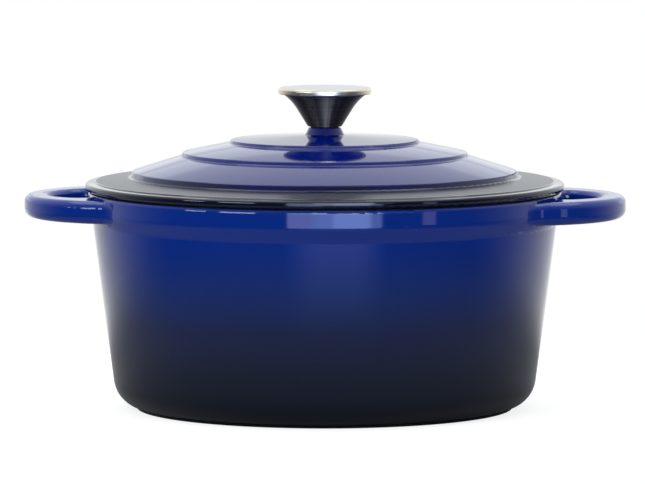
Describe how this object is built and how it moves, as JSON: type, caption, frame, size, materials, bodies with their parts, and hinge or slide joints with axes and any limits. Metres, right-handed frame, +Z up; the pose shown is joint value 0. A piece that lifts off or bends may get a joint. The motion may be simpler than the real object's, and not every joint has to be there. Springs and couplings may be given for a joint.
{
  "type": "dutch oven",
  "caption": "Round enamelled cast iron dutch oven with loop side handles and a stepped lid carrying a flared metal knob.",
  "frame": {"origin": "centre of the foot ring, on the surface the pot stands on", "axes": "+Z up along the axis of the pot, lid and knob; +X through the two handles; +Y across them"},
  "size_m": [0.3444, 0.274, 0.1839],
  "materials": {
    "pot_enamel": "gloss vitreous enamel, blue fading to near black at the base, pale inside",
    "lid_enamel": "gloss vitreous enamel, blue with a black rim",
    "gasket_rubber": "matte",
    "knob_shell_steel": "turned and brushed",
    "knob_cap_steel": "satin top, polished edge",
    "fastener_steel": "plain stainless"
  },
  "bodies": {
    "pot": {"pot": "pot_enamel"},
    "lid": {"lid": "lid_enamel", "knob_gasket": "gasket_rubber", "knob_screw": "fastener_steel", "lock_washer": "fastener_steel", "flat_washer": "fastener_steel"},
    "knob": {"knob_shell": "knob_shell_steel", "knob_cap": "knob_cap_steel", "knob_insert": "fastener_steel"}
  },
  "joints": [
    {"name": "lid_lift", "type": "slide", "parent": "pot", "child": "lid", "axis": [0, 0, 1], "range_m": [0, 0.2]},
    {"name": "knob_turn", "type": "hinge", "parent": "lid", "child": "knob", "pos_m": [0, 0, 0.17], "axis": [0, 0, 1], "range_deg": [0, 360]}
  ]
}
